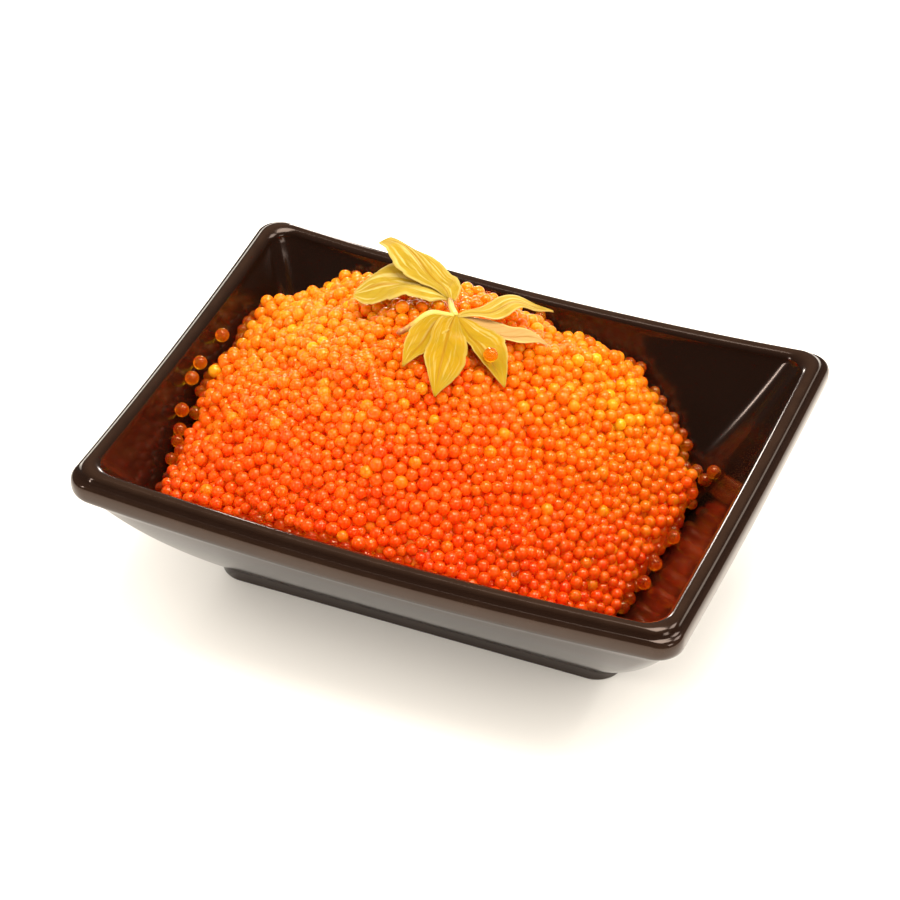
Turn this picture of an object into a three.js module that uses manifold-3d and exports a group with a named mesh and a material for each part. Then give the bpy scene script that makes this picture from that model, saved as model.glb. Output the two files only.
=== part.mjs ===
// A small rectangular glazed dish heaped with flying-fish roe, with a sprig of pale leaf on top.
// Millimetres, +Z up. The origin is the middle of the dish's foot, on the surface that it stands on.
// +X runs along the dish's long side.

import * as THREE from 'three';
import { mergeVertices } from 'three/addons/utils/BufferGeometryUtils.js';
import Module from 'manifold-3d';

const wasm = await Module();
wasm.setup();

// Dish: the rim

const RIM_HALF_LENGTH = 41;
const RIM_HALF_WIDTH = 30.5;
const RIM_HEIGHT = 22.75;
const RIM_CORNER = 3.2;
const CORNER_UPSWEEP = 0.00105;
const RIDGE_HALF_WIDTH = 1.1;
const RIDGE_RISE = 1.0;
const LIP_REACH = 1.1;
const LIP_DEPTH = 1.3;
const LIP_DROP = 2.7;
const LIP_HALF_HEIGHT = 1.67;
const RIDGE_OVERHANG = 0.1;

// Dish: the walls, the floor and the foot

const FOOT_HALF_LENGTH = 28.7;
const FOOT_HALF_WIDTH = 16.1;
const FOOT_HEIGHT = 1.75;
const FOOT_CORNER = 3.6;
const FOOT_RING_WIDTH = 2.6;
const FOOT_RECESS = 0.9;
const FOOT_EDGE = 0.3;
const RECESS_SLOPE = 0.6;
const RECESS_CORNER = 2.1;
const WALL_BULGE = 0.7;
const FLOOR_HALF_LENGTH = 26.5;
const FLOOR_HALF_WIDTH = 14.3;
const FLOOR_HEIGHT = 4.2;
const FLOOR_FILLET = 2.2;
const FLOOR_CORNER = 4.4;
const FILLET_CORNER = 3.4;
const INNER_TOP_INSET = 2.35;
const INNER_TOP_DOWN = 1.4;
const INNER_TOP_CORNER = 2.4;
const GAP_ALONG_SLOPE = 1.3;

// Points round one level of the dish

const CORNER_STEPS = 5;
const LONG_SIDE_STEPS = 6;
const SHORT_SIDE_STEPS = 5;

// Heap of roe

const EGG_DIAMETER = 2.05;
const EGG_SPACING = 2.2;
const STRAY_EGGS = 44;
const STRAY_RISE = 0.35;
const STRAY_SCATTER = 1.6;
const STRAY_SMALLEST = 0.94;
const STRAY_LARGEST = 1.06;
const GAP = 0.32;
const HEAP_TOP = 33.5;
const HEAP_CENTRE_X = -4;
const HEAP_CENTRE_Y = 2;
const HEAP_SHOULDER_DROP = 13;
const HEAP_REACH_LEFT = 33;
const HEAP_REACH_RIGHT = 23;
const HEAP_REACH_FRONT = 30;
const HEAP_REACH_BACK = 29;
const HEAP_LEAN_RIGHT = 0.2;
const HEAP_LEAN_RIGHT_FROM_Y = 10;
const HEAP_LEAN_LEFT = 0.12;
const HEAP_LEAN_LEFT_FROM_Y = 5;
const HEAP_SQUARENESS = 2.6;
const HEAP_ROUNDNESS = 1.8;
const HEAP_DENTS = [
	{ x: -34, y: 24, size: 4, depth: 2.5 },
	{ x: 8, y: 27, size: 6, depth: 3 },
	{ x: 31.5, y: 15, size: 4, depth: -4 }
];
const HEAP_LUMPS = [
	{ height: 0.6, alongX: 0.35, alongY: 0.37, shift: 1.3 },
	{ height: 0.4, alongX: 0.71, alongY: -0.5, shift: 2 },
	{ height: 0.3, alongX: 0.55, alongY: 0.9, shift: 0 }
];
const SLAB_BASE = -5;
const EGG_BUMP = 0.42;
const EGG_PIT = 0.4;
const EGG_SCATTER = 0.28;

// Leaf sprig

const LEAF_THICKNESS = 0.45;
const LEAF_CLEARANCE = 1.35;
const LOBE_ALONG_STEPS = 7;
const LOBE_ACROSS_STEPS = 4;
const LOBE_BLUNTNESS = 0.8;
const LOBE_LEAST_HALF_WIDTH = 0.3;
const LOBE_CUP = 0.1;
const LOBE_WAVE = 0.3;
const STALK_RADIUS = 0.5;
const STALK_SIDES = 6;
const STALK_SINK = 0.6;
const LOWER_JOINT = new THREE.Vector2( -3.6, 8.1 );
const UPPER_JOINT = new THREE.Vector2( -6.9, 14.1 );
const STALK_END = new THREE.Vector2( -9.6, 2.4 );

const DEGREE = Math.PI / 180;

// A repeatable stream of numbers from 0 to 1

function numberStream( seed ) {

	let state = seed >>> 0;

	return () => {

		state = ( state + 0x6d2b79f5 ) >>> 0;
		let t = Math.imul( state ^ ( state >>> 15 ), state | 1 );
		t ^= t + Math.imul( t ^ ( t >>> 7 ), t | 61 );
		return ( ( t ^ ( t >>> 14 ) ) >>> 0 ) / 4294967296;

	};

}

function mix( from, to, share ) {

	return from + ( to - from ) * share;

}

// Surfaces from rings of points, and solids for joining and cutting

function geometryFrom( points, triangles ) {

	const geometry = new THREE.BufferGeometry();
	const values = points.flatMap( ( p ) => [ p.x, p.y, p.z ] );
	geometry.setAttribute( 'position', new THREE.Float32BufferAttribute( values, 3 ) );
	geometry.setIndex( triangles );
	return geometry;

}

// Joins rings of equal length, the first and the last closed by a fan about their middle

function skinRings( rings ) {

	const count = rings[ 0 ].length;
	const points = rings.flat();
	const triangles = [];

	for ( let level = 0; level < rings.length - 1; level ++ ) {

		for ( let i = 0; i < count; i ++ ) {

			const a = level * count + i;
			const b = level * count + ( i + 1 ) % count;
			triangles.push( a, b, b + count, a, b + count, a + count );

		}

	}

	const closeWithFan = ( level, outward ) => {

		const hub = points.length;
		const ring = rings[ level ];
		const sum = ring.reduce( ( total, p ) => total.add( p ), new THREE.Vector3() );
		points.push( sum.divideScalar( count ) );

		for ( let i = 0; i < count; i ++ ) {

			const a = level * count + i;
			const b = level * count + ( i + 1 ) % count;
			triangles.push( ...( outward ? [ a, b, hub ] : [ b, a, hub ] ) );

		}

	};

	closeWithFan( 0, false );
	closeWithFan( rings.length - 1, true );
	return geometryFrom( points, triangles );

}

function solidFrom( geometry ) {

	const bare = geometry.clone();
	bare.deleteAttribute( 'normal' );
	bare.deleteAttribute( 'uv' );
	const merged = mergeVertices( bare, 1e-4 );
	return new wasm.Manifold( new wasm.Mesh( {
		numProp: 3,
		vertProperties: new Float32Array( merged.attributes.position.array ),
		triVerts: new Uint32Array( merged.index.array )
	} ) );

}

function geometryOf( solid ) {

	const mesh = solid.getMesh();
	const geometry = new THREE.BufferGeometry();
	const values = Array.from( mesh.vertProperties );
	geometry.setAttribute( 'position', new THREE.Float32BufferAttribute( values, 3 ) );
	geometry.setIndex( Array.from( mesh.triVerts ) );
	return geometry;

}

function largestPiece( solid ) {

	return solid.decompose().reduce( ( best, piece ) => piece.volume() > best.volume() ? piece : best );

}

// One level of the dish: a rectangle with round corners whose height rises towards the corners

function dishRing( halfLength, halfWidth, corner, height, upsweep ) {

	const outline = [];
	const side = ( from, to, steps ) => {

		for ( let i = 1; i < steps; i ++ ) outline.push( from.clone().lerp( to, i / steps ) );

	};

	const corners = [ [ 1, 1, 0 ], [ - 1, 1, 90 ], [ - 1, - 1, 180 ], [ 1, - 1, 270 ] ];
	const arc = ( [ sx, sy, start ] ) => Array.from( { length: CORNER_STEPS + 1 }, ( _, i ) => {

		const angle = ( start + 90 * i / CORNER_STEPS ) * DEGREE;
		const x = sx * ( halfLength - corner ) + corner * Math.cos( angle );
		const y = sy * ( halfWidth - corner ) + corner * Math.sin( angle );
		return new THREE.Vector2( x, y );

	} );

	corners.forEach( ( place, i ) => {

		const points = arc( place );
		outline.push( ...points );
		const next = arc( corners[ ( i + 1 ) % 4 ] )[ 0 ];
		side( points[ CORNER_STEPS ], next, i % 2 ? SHORT_SIDE_STEPS : LONG_SIDE_STEPS );

	} );

	return outline.map( ( p ) => {

		const rise = upsweep * CORNER_UPSWEEP * p.lengthSq();
		return new THREE.Vector3( p.x, p.y, height + rise );

	} );

}

// A level measured outward from the rim's outer edge and down from the rim's top

function rimRing( outward, down, corner ) {

	return dishRing( RIM_HALF_LENGTH + outward, RIM_HALF_WIDTH + outward, corner, RIM_HEIGHT - down, 1 );

}

function ridgeRings() {

	return [ - 10, 20, 50, 80, 110, 140, 170 ].map( ( degrees ) => {

		const outward = RIDGE_HALF_WIDTH * ( Math.cos( degrees * DEGREE ) - 1 ) + RIDGE_OVERHANG;
		const down = RIDGE_RISE * ( 1 - Math.sin( degrees * DEGREE ) );
		return rimRing( outward, down, RIM_CORNER );

	} );

}

function lipRings() {

	return [ - 80, - 50, - 20, 10, 40, 70 ].map( ( degrees ) => {

		const outward = LIP_REACH - LIP_DEPTH * ( 1 - Math.cos( degrees * DEGREE ) );
		const down = LIP_DROP - LIP_HALF_HEIGHT * Math.sin( degrees * DEGREE );
		return rimRing( outward, down, RIM_CORNER );

	} );

}

// The flared outside of the wall, from the foot up to the underside of the lip

function outerWallRings() {

	const under = LIP_REACH - LIP_DEPTH;
	return [ 0, 0.2, 0.4, 0.6, 0.8 ].map( ( share ) => {

		const bulge = WALL_BULGE * 4 * share * ( 1 - share );
		const height = mix( FOOT_HEIGHT, RIM_HEIGHT - LIP_DROP - LIP_HALF_HEIGHT, share );
		return dishRing(
			mix( FOOT_HALF_LENGTH, RIM_HALF_LENGTH + under, share ) + bulge,
			mix( FOOT_HALF_WIDTH, RIM_HALF_WIDTH + under, share ) + bulge,
			mix( FOOT_CORNER, RIM_CORNER, share ), height, share );

	} );

}

// The inside of the dish from the ridge down to the floor, drawn in by a gap where one is asked for

function innerHalfSizes( share ) {

	const bulge = WALL_BULGE * 4 * share * ( 1 - share );
	return [
		mix( RIM_HALF_LENGTH - INNER_TOP_INSET, FLOOR_HALF_LENGTH, share ) + bulge,
		mix( RIM_HALF_WIDTH - INNER_TOP_INSET, FLOOR_HALF_WIDTH, share ) + bulge
	];

}

function innerHeight( share ) {

	return mix( RIM_HEIGHT - INNER_TOP_DOWN, FLOOR_HEIGHT, share );

}

function innerCorner( share ) {

	return mix( INNER_TOP_CORNER, FLOOR_CORNER, share );

}

function innerRings( gap, shares ) {

	const rings = shares.map( ( share ) => {

		const [ length, width ] = innerHalfSizes( share );
		const inset = gap * GAP_ALONG_SLOPE;
		const height = innerHeight( share ) + gap * share;
		return dishRing( length - inset, width - inset, innerCorner( share ), height, 1 - share );

	} );

	const inset = FLOOR_FILLET + gap;
	rings.push( dishRing(
		FLOOR_HALF_LENGTH - inset, FLOOR_HALF_WIDTH - inset, FILLET_CORNER, FLOOR_HEIGHT + gap, 0 ) );
	return rings;

}

function footRings() {

	const level = ( inset, corner, height ) => dishRing(
		FOOT_HALF_LENGTH - inset, FOOT_HALF_WIDTH - inset, corner, height, 0 );
	return [
		level( FOOT_RING_WIDTH + RECESS_SLOPE, RECESS_CORNER, FOOT_RECESS ),
		level( FOOT_RING_WIDTH, RECESS_CORNER, 0 ),
		level( FOOT_EDGE, FOOT_CORNER, 0 ),
		level( 0, FOOT_CORNER, FOOT_EDGE )
	];

}

function buildDish() {

	return skinRings( [
		...footRings(),
		...outerWallRings(),
		...lipRings(),
		...ridgeRings(),
		...innerRings( 0, [ 0, 0.2, 0.4, 0.6, 0.8, 0.94 ] )
	] );

}

// The heap's smooth form: a dome that slopes down to the floor on the right

function heapHeight( x, y ) {

	const right = x > HEAP_CENTRE_X;
	const lean = right
		? - HEAP_LEAN_RIGHT * ( y - HEAP_LEAN_RIGHT_FROM_Y )
		: HEAP_LEAN_LEFT * ( y - HEAP_LEAN_LEFT_FROM_Y );
	const along = Math.abs( x + lean - HEAP_CENTRE_X ) / ( right ? HEAP_REACH_RIGHT : HEAP_REACH_LEFT );
	const reach = y > HEAP_CENTRE_Y ? HEAP_REACH_BACK : HEAP_REACH_FRONT;
	const across = Math.abs( y - HEAP_CENTRE_Y ) / reach;
	const distance = ( along ** HEAP_SQUARENESS + across ** HEAP_SQUARENESS ) ** ( 1 / HEAP_SQUARENESS );
	const lumps = HEAP_LUMPS.reduce( ( sum, lump ) => {

		return sum + lump.height * Math.sin( lump.alongX * x + lump.alongY * y + lump.shift );

	}, 0 );
	const dents = HEAP_DENTS.reduce( ( sum, dent ) => {

		const away = ( x - dent.x ) ** 2 + ( y - dent.y ) ** 2;
		return sum + dent.depth * Math.exp( - away / dent.size ** 2 );

	}, 0 );
	return HEAP_TOP - HEAP_SHOULDER_DROP * distance ** HEAP_ROUNDNESS + lumps - dents;

}

// A slab whose top is a honeycomb of low points, one for each egg that shows

function eggSlab( random ) {

	const columnStep = EGG_SPACING;
	const rowStep = EGG_SPACING * Math.sqrt( 3 ) / 2;
	const pitDistance = EGG_SPACING / Math.sqrt( 3 );
	const columns = Math.ceil( RIM_HALF_LENGTH / columnStep );
	const rows = Math.ceil( RIM_HALF_WIDTH / rowStep );
	const points = [];
	const found = new Map();
	const top = [];

	const scatter = () => ( random() - 0.5 ) * 2 * EGG_SCATTER;
	const vertex = ( x, y, rise ) => {

		const key = `${ Math.round( x * 100 ) },${ Math.round( y * 100 ) }`;

		if ( ! found.has( key ) ) {

			const px = x + scatter();
			const py = y + scatter();
			const height = Math.max( heapHeight( px, py ), 0 ) + rise + scatter();
			found.set( key, points.length );
			points.push( new THREE.Vector3( px, py, height ) );

		}

		return found.get( key );

	};

	for ( let row = - rows; row <= rows; row ++ ) {

		for ( let column = - columns; column <= columns; column ++ ) {

			const x = ( column + ( row % 2 ? 0.5 : 0 ) ) * columnStep;
			const y = row * rowStep;
			const peak = vertex( x, y, EGG_BUMP );
			const pits = [ 30, 90, 150, 210, 270, 330 ].map( ( degrees ) => vertex(
				x + pitDistance * Math.cos( degrees * DEGREE ),
				y + pitDistance * Math.sin( degrees * DEGREE ), - EGG_PIT ) );
			pits.forEach( ( pit, i ) => top.push( peak, pit, pits[ ( i + 1 ) % 6 ] ) );

		}

	}

	const edges = new Map();

	for ( let i = 0; i < top.length; i += 3 ) {

		for ( let j = 0; j < 3; j ++ ) {

			const a = top[ i + j ];
			const b = top[ i + ( j + 1 ) % 3 ];
			const shared = edges.delete( `${ b },${ a }` );
			if ( ! shared ) edges.set( `${ a },${ b }`, [ a, b ] );

		}

	}

	const count = points.length;
	const below = points.map( ( p ) => new THREE.Vector3( p.x, p.y, SLAB_BASE ) );
	const bottom = top.map( ( corner ) => corner + count ).reverse();
	const triangles = [ ...top, ...bottom ];

	for ( const [ a, b ] of edges.values() ) {

		triangles.push( a, a + count, b, b, a + count, b + count );

	}

	return geometryFrom( [ ...points, ...below ], triangles );

}

// The space inside the dish, less the gap, carried straight up above the ridge

function cavity() {

	const rings = innerRings( GAP, [ 0, 0.4, 0.8, 0.94 ] ).reverse();
	const mouth = rings[ rings.length - 1 ];
	const roof = mouth.map( ( p ) => new THREE.Vector3( p.x, p.y, 2 * HEAP_TOP ) );
	return skinRings( [ ...rings, roof ] );

}

// True where a whole egg at this place is clear of the dish

function eggFits( x, y, z, radius ) {

	const swept = RIM_HEIGHT - INNER_TOP_DOWN + CORNER_UPSWEEP * ( x * x + y * y );
	const share = Math.min( Math.max( ( swept - z ) / ( swept - FLOOR_HEIGHT ), 0 ), 1 );
	const [ length, width ] = innerHalfSizes( share );
	const corner = innerCorner( share );
	const room = ( radius + GAP ) * GAP_ALONG_SLOPE;
	const pastLength = Math.abs( x ) - ( length - corner );
	const pastWidth = Math.abs( y ) - ( width - corner );
	const inside = pastLength > 0 && pastWidth > 0
		? Math.hypot( pastLength, pastWidth ) < corner - room
		: Math.max( pastLength, pastWidth ) < corner - room;
	return inside && z > FLOOR_HEIGHT + GAP + radius;

}

// Eggs that stand out from the heap's edge, the most where the heap meets the walls

function looseEggs( random ) {

	const radius = EGG_DIAMETER / 2;
	const eggs = [];
	const step = 0.25;

	for ( let i = 0; i < STRAY_EGGS; i ++ ) {

		const bearing = ( i + 0.7 * random() ) / STRAY_EGGS * 2 * Math.PI;
		const direction = new THREE.Vector2( Math.cos( bearing ), Math.sin( bearing ) );
		let reach = 10;

		const place = ( distance ) => {

			const x = HEAP_CENTRE_X + direction.x * distance;
			const y = HEAP_CENTRE_Y + direction.y * distance;
			return [ x, y, heapHeight( x, y ) + radius * STRAY_RISE ];

		};

		while ( eggFits( ...place( reach + step ), radius ) ) reach += step;

		const [ x, y, z ] = place( reach - random() * STRAY_SCATTER );
		const size = radius * mix( STRAY_SMALLEST, STRAY_LARGEST, random() );
		const egg = new THREE.IcosahedronGeometry( size, 0 );
		eggs.push( egg.rotateZ( random() * Math.PI ).translate( x, y, z ) );

	}

	return eggs;

}

function buildHeap() {

	const random = numberStream( 7 );
	const bumpy = solidFrom( eggSlab( random ) );
	const body = largestPiece( bumpy.intersect( solidFrom( cavity() ) ) );
	const joined = looseEggs( random ).reduce( ( solid, egg ) => solid.add( solidFrom( egg ) ), body );
	return geometryOf( largestPiece( joined ) );

}

// Leaf sprig: each lobe is a thin wavy blade that grows from a joint of the stalk out to its tip

function leafBase( x, y ) {

	return heapHeight( x, y ) + LEAF_CLEARANCE;

}

function lobe( { joint, heading, length, width, bend = 0, lift = 0, tilt = 0 } ) {

	const along = LOBE_ALONG_STEPS;
	const across = LOBE_ACROSS_STEPS;
	const upper = [];
	const lower = [];

	for ( let i = 0; i <= along; i ++ ) {

		const t = i / along;
		const turn = ( heading + bend * ( t - 1 ) ) * DEGREE;
		const forward = new THREE.Vector2( Math.cos( turn ), Math.sin( turn ) );
		const middle = joint.clone().addScaledVector( forward, length * t );
		const swell = Math.max( Math.sin( Math.PI * t ), 0 );
		const half = LOBE_LEAST_HALF_WIDTH + width / 2 * swell ** LOBE_BLUNTNESS;

		for ( let j = 0; j <= across; j ++ ) {

			const s = 2 * j / across - 1;
			const x = middle.x - forward.y * half * s;
			const y = middle.y + forward.x * half * s;
			const cup = LOBE_CUP * width * s * s * swell;
			const ripple = LOBE_WAVE * ( 1 + Math.sin( 5 * t * Math.PI + 2 * s ) ) * Math.abs( s ) * swell;
			const rise = lift * t + Math.abs( tilt ) * half * ( 1 + Math.sign( tilt ) * s ) * swell;
			const z = leafBase( x, y ) + rise + cup + ripple;
			lower.push( new THREE.Vector3( x, y, z ) );
			upper.push( new THREE.Vector3( x, y, z + LEAF_THICKNESS ) );

		}

	}

	const columns = across + 1;
	const count = lower.length;
	const triangles = [];
	const border = [];

	for ( let i = 0; i < along; i ++ ) {

		for ( let j = 0; j < across; j ++ ) {

			const a = i * columns + j;
			const b = a + 1;
			const c = a + columns;
			const d = c + 1;
			triangles.push( a, b, d, a, d, c );
			triangles.push( a + count, d + count, b + count, a + count, c + count, d + count );

		}

	}

	for ( let i = 0; i < along; i ++ ) border.push( i * columns );
	for ( let j = 0; j < across; j ++ ) border.push( along * columns + j );
	for ( let i = along; i > 0; i -- ) border.push( i * columns + across );
	for ( let j = across; j > 0; j -- ) border.push( j );

	border.forEach( ( a, i ) => {

		const b = border[ ( i + 1 ) % border.length ];
		triangles.push( a, b, b + count, a, b + count, a + count );

	} );

	return geometryFrom( [ ...lower, ...upper ], triangles );

}

// A round length of stalk over the heap from one place to another

function stalk( from, to ) {

	const path = new THREE.CatmullRomCurve3( [ 0, 0.33, 0.67, 1 ].map( ( t ) => {

		const p = from.clone().lerp( to, t );
		return new THREE.Vector3( p.x, p.y, leafBase( p.x, p.y ) + STALK_RADIUS * STALK_SINK );

	} ) );
	const circle = new THREE.EllipseCurve( 0, 0, STALK_RADIUS, STALK_RADIUS );
	const section = new THREE.Shape( circle.getPoints( STALK_SIDES ).slice( 0, STALK_SIDES ) );
	return new THREE.ExtrudeGeometry( section, { extrudePath: path, steps: 4 } );

}

function buildSprig() {

	const lobes = [
		{ joint: LOWER_JOINT, heading: 257, length: 11.6, width: 4.4, bend: 12 },
		{ joint: LOWER_JOINT, heading: 282, length: 14.5, width: 6 },
		{ joint: LOWER_JOINT, heading: 327, length: 11.6, width: 5 },
		{ joint: LOWER_JOINT, heading: 11, length: 11.4, width: 2.6 },
		{ joint: LOWER_JOINT, heading: 47, length: 14.4, width: 3.4, lift: 0.6 },
		{ joint: UPPER_JOINT, heading: 194, length: 13.7, width: 7.5, lift: 1, tilt: -0.35 },
		{ joint: UPPER_JOINT, heading: 160, length: 10.9, width: 6, bend: 30, lift: 6.5 }
	];
	const stalks = [ stalk( LOWER_JOINT, STALK_END ), stalk( LOWER_JOINT, UPPER_JOINT ) ];
	const pieces = [ ...lobes.map( lobe ), ...stalks ].map( solidFrom );
	return geometryOf( pieces.reduce( ( sprig, piece ) => sprig.add( piece ) ) );

}

// The three pieces

const group = new THREE.Group();

function addPiece( name, geometry, material ) {

	geometry.computeVertexNormals();
	const faceted = { ...material, metalness: 0, flatShading: true };
	const mesh = new THREE.Mesh( geometry, new THREE.MeshStandardMaterial( faceted ) );
	mesh.name = name;
	group.add( mesh );

}

addPiece( 'dish', buildDish(), { color: 0x2d1c14, roughness: 0.12 } );
addPiece( 'roe_heap', buildHeap(), { color: 0xf26a12, roughness: 0.2 } );
addPiece( 'leaf_sprig', buildSprig(), { color: 0xe6c63c, roughness: 0.5 } );

export default group;
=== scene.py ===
"""A small dark glazed dish heaped with orange roe and topped with a sprig of yellow leaf.

Sizes in the classes are millimetres, and the meshes are in metres. +X runs along the dish's long side,
+Y towards its back wall and +Z up. The origin is the middle of the dish's foot, where it stands.
"""

import logging
import math
from collections.abc import Iterable, Mapping, Sequence
from dataclasses import dataclass, field
from enum import Enum

import bpy
import numpy as np
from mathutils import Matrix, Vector


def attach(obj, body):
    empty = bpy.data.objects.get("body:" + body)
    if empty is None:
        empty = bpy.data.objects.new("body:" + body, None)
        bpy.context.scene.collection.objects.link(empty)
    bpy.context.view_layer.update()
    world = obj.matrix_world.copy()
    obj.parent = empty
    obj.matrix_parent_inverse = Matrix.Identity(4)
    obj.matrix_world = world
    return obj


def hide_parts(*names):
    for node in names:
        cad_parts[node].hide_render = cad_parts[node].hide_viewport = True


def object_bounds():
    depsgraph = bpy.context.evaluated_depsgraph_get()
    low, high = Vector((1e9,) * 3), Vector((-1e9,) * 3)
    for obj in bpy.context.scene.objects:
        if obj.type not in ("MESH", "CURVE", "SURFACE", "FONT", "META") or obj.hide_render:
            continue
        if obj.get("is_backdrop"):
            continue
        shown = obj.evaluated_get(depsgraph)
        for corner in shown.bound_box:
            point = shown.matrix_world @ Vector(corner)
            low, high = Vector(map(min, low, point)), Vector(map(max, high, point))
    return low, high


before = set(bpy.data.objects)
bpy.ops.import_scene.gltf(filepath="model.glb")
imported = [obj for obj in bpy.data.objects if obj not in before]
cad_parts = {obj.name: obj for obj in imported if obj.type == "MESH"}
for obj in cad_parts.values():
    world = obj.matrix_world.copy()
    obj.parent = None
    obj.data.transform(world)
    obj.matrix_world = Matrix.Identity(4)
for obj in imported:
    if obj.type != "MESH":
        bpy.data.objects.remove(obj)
CAD_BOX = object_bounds()

MM = 0.001
BODY = "root"

Colour = tuple[float, float, float]
Place = tuple[float, float, float]

log = logging.getLogger("roe_dish")


class Link:
    """A value inside a node tree; arithmetic on it adds Math nodes."""

    def __init__(self, tree: "Tree", socket: bpy.types.NodeSocket) -> None:
        """Wraps one output socket of a tree."""
        self.tree = tree
        self.socket = socket

    def __add__(self, other: "Value") -> "Link":
        """Gives self + other."""
        return self.tree.math("ADD", self, other)

    __radd__ = __add__

    def __sub__(self, other: "Value") -> "Link":
        """Gives self - other."""
        return self.tree.math("SUBTRACT", self, other)

    def __rsub__(self, other: "Value") -> "Link":
        """Gives other - self."""
        return self.tree.math("SUBTRACT", other, self)

    def __mul__(self, other: "Value") -> "Link":
        """Gives self * other."""
        return self.tree.math("MULTIPLY", self, other)

    __rmul__ = __mul__

    def __abs__(self) -> "Link":
        """Gives the size of self without its sign."""
        return self.tree.math("ABSOLUTE", self)

    def clamped(self) -> "Link":
        """Keeps the value between 0 and 1."""
        return self.tree.node("ShaderNodeClamp", {}, {"Value": self})

    def over(self, low: float, high: float) -> "Link":
        """Gives a smooth mask that is 0 at low and 1 at high.

        Args:
            low: the value at which the mask starts.
            high: the value at which the mask is full, which may be below low.

        Returns:
            The mask.
        """
        settings = {"interpolation_type": "SMOOTHSTEP"}
        inputs = {"Value": self, "From Min": low, "From Max": high}
        return self.tree.node("ShaderNodeMapRange", settings, inputs)

    def part(self, output: str) -> "Link":
        """Gives another output of the node that this value comes from."""
        return Link(self.tree, self.socket.node.outputs[output])


Value = Link | float | int | Colour


class Tree:
    """The node tree of one material, or of the world."""

    def __init__(self, owner: bpy.types.Material | bpy.types.World) -> None:
        """Empties the owner's tree.

        Args:
            owner: the material or the world that the tree belongs to.
        """
        self.owner = owner
        owner.use_nodes = True
        self.tree = owner.node_tree
        self.tree.nodes.clear()

    def node(
        self,
        kind: str,
        settings: Mapping[str, object],
        inputs: Mapping[str | int, Value],
        output: str | int = 0,
    ) -> Link:
        """Adds one node.

        Args:
            kind: the node's type.
            settings: its settings, set first; stops gives a ramp's places and colours.
            inputs: values or links by socket.
            output: the output wanted.

        Returns:
            That output.
        """
        made = self.tree.nodes.new(kind)
        for name, value in settings.items():
            if name == "stops":
                self._set_stops(made.color_ramp, value)
            else:
                setattr(made, name, value)
        for name, value in inputs.items():
            self._feed(made.inputs[name], value)
        return Link(self, made.outputs[output])

    def _set_stops(self, ramp: bpy.types.ColorRamp, stops: Sequence[tuple[float, Colour]]) -> None:
        """Gives a colour ramp its stops.

        Args:
            ramp: the ramp.
            stops: the place and the colour of each stop.
        """
        while len(ramp.elements) < len(stops):
            ramp.elements.new(1.0)
        for element, (place, colour) in zip(ramp.elements, stops):
            element.position = place
            element.color = (*colour, 1.0)

    def _feed(self, socket: bpy.types.NodeSocket, value: Value) -> None:
        """Links a value to a socket, or sets the socket to it.

        Args:
            socket: the input socket.
            value: a link, a number or a colour.
        """
        if isinstance(value, Link):
            self.tree.links.new(value.socket, socket)
        elif isinstance(value, tuple) and socket.type == "RGBA":
            socket.default_value = (*value, 1.0)
        else:
            socket.default_value = value

    def math(self, operation: str, *values: Value) -> Link:
        """Adds a Math node over one or more values."""
        return self.node("ShaderNodeMath", {"operation": operation}, dict(enumerate(values)))

    def blend(self, share: Value, first: Value, second: Value) -> Link:
        """Mixes two colours.

        Args:
            share: how much of the second colour shows, from 0 to 1.
            first: the colour at 0.
            second: the colour at 1.

        Returns:
            The mixed colour.
        """
        inputs = {0: share, 6: first, 7: second}
        return self.node("ShaderNodeMix", {"data_type": "RGBA"}, inputs, output=2)

    def attribute(self, name: str, output: str = "Fac") -> Link:
        """Reads a value that the mesh carries at each point."""
        return self.node("ShaderNodeAttribute", {"attribute_name": name}, {}, output)

    def noise(self, grain: float, detail: float = 2.0) -> Link:
        """Adds a cloudy pattern in the object's own space.

        Args:
            grain: the size of its blotches in millimetres.
            detail: how many finer layers it has.

        Returns:
            A value around 0.5.
        """
        place = self.node("ShaderNodeTexCoord", {}, {}, "Object")
        inputs = {"Vector": place, "Scale": 1 / (grain * MM), "Detail": detail}
        return self.node("ShaderNodeTexNoise", {}, inputs, "Fac")

    def bump(self, height: Link, depth: float, below: Link | None = None) -> Link:
        """Turns a height into a normal.

        Args:
            height: the height, in parts of the depth.
            depth: the depth in millimetres.
            below: a coarser normal that this one lies on.

        Returns:
            The normal.
        """
        inputs: dict[str | int, Value] = {"Height": height, "Distance": depth * MM, "Strength": 1.0}
        if below is not None:
            inputs["Normal"] = below
        return self.node("ShaderNodeBump", {}, inputs)

    def principled(self, inputs: Mapping[str | int, Value]) -> Link:
        """Adds the main shader."""
        return self.node("ShaderNodeBsdfPrincipled", {}, inputs)

    def finished(self, surface: Link, output: str = "Material") -> bpy.types.Material | bpy.types.World:
        """Puts the shader on the owner's surface.

        Args:
            surface: the shader.
            output: what the shader is for, which is Material or World.

        Returns:
            The owner.
        """
        made = self.tree.nodes.new(f"ShaderNodeOutput{output}")
        self.tree.links.new(surface.socket, made.inputs["Surface"])
        return self.owner


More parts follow.
